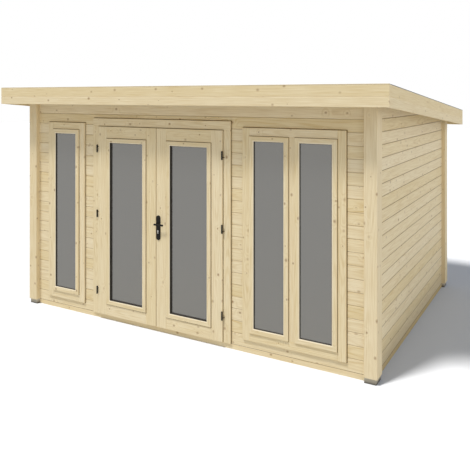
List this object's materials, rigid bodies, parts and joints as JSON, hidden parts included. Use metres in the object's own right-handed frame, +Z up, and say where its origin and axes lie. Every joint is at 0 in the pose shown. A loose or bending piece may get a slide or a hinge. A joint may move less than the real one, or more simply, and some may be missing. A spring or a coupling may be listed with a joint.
{
  "type": "garden office pod",
  "caption": "Small hollow timber garden office with a pent roof, glazed double doors that open outwards and fixed windows beside them.",
  "frame": {"origin": "on the ground, under the middle of the roof", "axes": "+Z up, the doors face -Y, +X to the right of someone facing the doors"},
  "size_m": [4.45, 3.448, 2.5],
  "materials": {
    "spruce": "planed, untreated",
    "base_timber": "sawn, treated",
    "roof_membrane": "matt",
    "tinted_glass": "smoked, sealed units",
    "black_ironmongery": "satin black",
    "nickel": "satin"
  },
  "bodies": {
    "cabin": {"base_bearers": "base_timber", "floor_joists": "base_timber", "floor": "spruce", "front_wall_left": "spruce", "front_wall_mid_left": "spruce", "front_wall_mid_right": "spruce", "front_wall_right": "spruce", "wall_under_windows": "spruce", "wall_over_windows": "spruce", "front_wall_top": "spruce", "left_wall": "spruce", "right_wall": "spruce", "rear_wall": "spruce", "front_left_post": "spruce", "front_right_post": "spruce", "rear_left_post": "spruce", "rear_right_post": "spruce", "post_feet": "base_timber", "purlins": "spruce", "roof_deck": "spruce", "front_fascia": "spruce", "rear_fascia": "spruce", "left_fascia": "spruce", "right_fascia": "spruce", "left_window_frame": "spruce", "left_window_sash": "spruce", "right_window_frame": "spruce", "right_window_sash": "spruce", "window_inner_trims": "spruce", "door_jamb_left": "spruce", "door_jamb_right": "spruce", "door_head": "spruce", "threshold": "spruce", "door_inner_trim": "spruce", "roof_covering": "roof_membrane", "left_window_glass": "tinted_glass", "right_window_glass": "tinted_glass", "left_hinge_jamb_side": "black_ironmongery", "right_hinge_jamb_side": "black_ironmongery"},
    "left_door": {"left_door_leaf": "spruce", "left_door_glazing_frame": "spruce", "left_door_glass": "tinted_glass", "left_hinge_leaf_side": "black_ironmongery"},
    "right_door": {"right_door_leaf": "spruce", "right_door_glazing_frame": "spruce", "right_door_glass": "tinted_glass", "right_hinge_leaf_side": "black_ironmongery", "handle_plates": "black_ironmongery", "lock_cylinder": "nickel"},
    "lever": {"door_lever": "black_ironmongery"}
  },
  "joints": [
    {"name": "left_door_swing", "type": "hinge", "parent": "cabin", "child": "left_door", "pos_m": [-1.0155, -1.462, 0], "axis": [0, 0, -1], "range_deg": [0, 110]},
    {"name": "right_door_swing", "type": "hinge", "parent": "cabin", "child": "right_door", "pos_m": [0.5555, -1.462, 0], "axis": [0, 0, 1], "range_deg": [0, 110]},
    {"name": "lever_turn", "type": "hinge", "parent": "right_door", "child": "lever", "pos_m": [-0.1995, -1.4, 1.107], "axis": [0, 1, 0], "range_deg": [0, 45], "stiffness_Nm_per_rad": 0.6}
  ]
}
